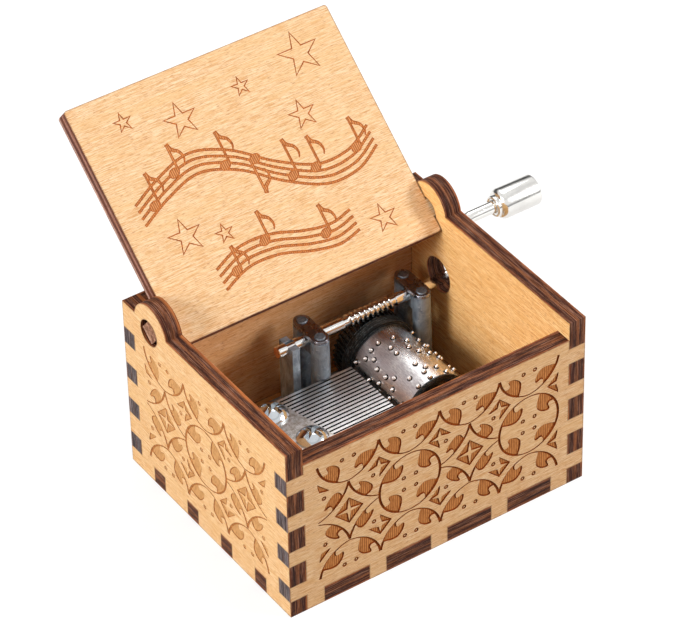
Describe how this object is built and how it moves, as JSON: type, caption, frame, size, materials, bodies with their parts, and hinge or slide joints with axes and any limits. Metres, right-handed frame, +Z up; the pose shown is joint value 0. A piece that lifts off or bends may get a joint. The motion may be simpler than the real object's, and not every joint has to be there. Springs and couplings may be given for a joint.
{
  "type": "hand-cranked music box",
  "caption": "Small finger-jointed plywood box with a hinged lid and an open comb music movement, played by turning a crank with a knob at its right side.",
  "frame": {"origin": "centre of the underside", "axes": "+Z up, +X towards the crank, -Y towards the engraved front panel"},
  "size_m": [0.0818, 0.0771, 0.0639],
  "materials": {
    "plywood": "bare laser-cut birch plywood with burnt brown edges and engraved ornament",
    "zinc_casting": "dull blue-grey die-cast zinc",
    "steel_strap": "rolled steel strip, smooth and darkly reflecting",
    "comb_steel": "ground spring steel with fine cross marks",
    "nickel_plate": "bright nickel plate",
    "drum_plate": "nickel-plated sheet, streaked, with punched pins",
    "screw_steel": "bright zinc-plated screws",
    "black_plastic": "black moulded plastic, glossy and lightly scratched",
    "lead": "dull grey lead",
    "damper_film": "thin pale plastic film"
  },
  "bodies": {
    "case": {"front_panel": "plywood", "back_panel": "plywood", "left_panel": "plywood", "right_panel": "plywood", "bottom_panel": "plywood", "bedplate": "zinc_casting", "left_bearing_strap": "steel_strap", "right_bearing_strap": "steel_strap", "comb": "comb_steel", "comb_screws": "screw_steel", "tuning_weights": "lead", "dampers": "damper_film", "drum_arbor": "nickel_plate", "mounting_screws": "screw_steel"},
    "lid": {"lid": "plywood"},
    "crank": {"crank_rod": "nickel_plate", "worm": "nickel_plate"},
    "knob": {"knob": "nickel_plate"},
    "drum": {"drum": "drum_plate", "drum_gear": "black_plastic", "drum_end_cap": "black_plastic"}
  },
  "joints": [
    {"name": "lid_hinge", "type": "hinge", "parent": "case", "child": "lid", "pos_m": [0, 0.0173, 0.0358], "axis": [1, 0, 0], "range_deg": [0, 140.7]},
    {"name": "crank_spin", "type": "hinge", "parent": "case", "child": "crank", "pos_m": [0, 0.01425, 0.0212], "axis": [1, 0, 0], "continuous": true},
    {"name": "drum_spin", "type": "hinge", "parent": "case", "child": "drum", "pos_m": [0.0134, 0, 0.01278], "axis": [0, 1, 0], "continuous": true},
    {"name": "knob_spin", "type": "hinge", "parent": "crank", "child": "knob", "pos_m": [0.046, 0.01355, 0.03328], "axis": [1, 0, 0], "continuous": true}
  ],
  "couplings": [
    {"joint": "drum_spin", "follows": "crank_spin", "ratio": -0.02381}
  ]
}
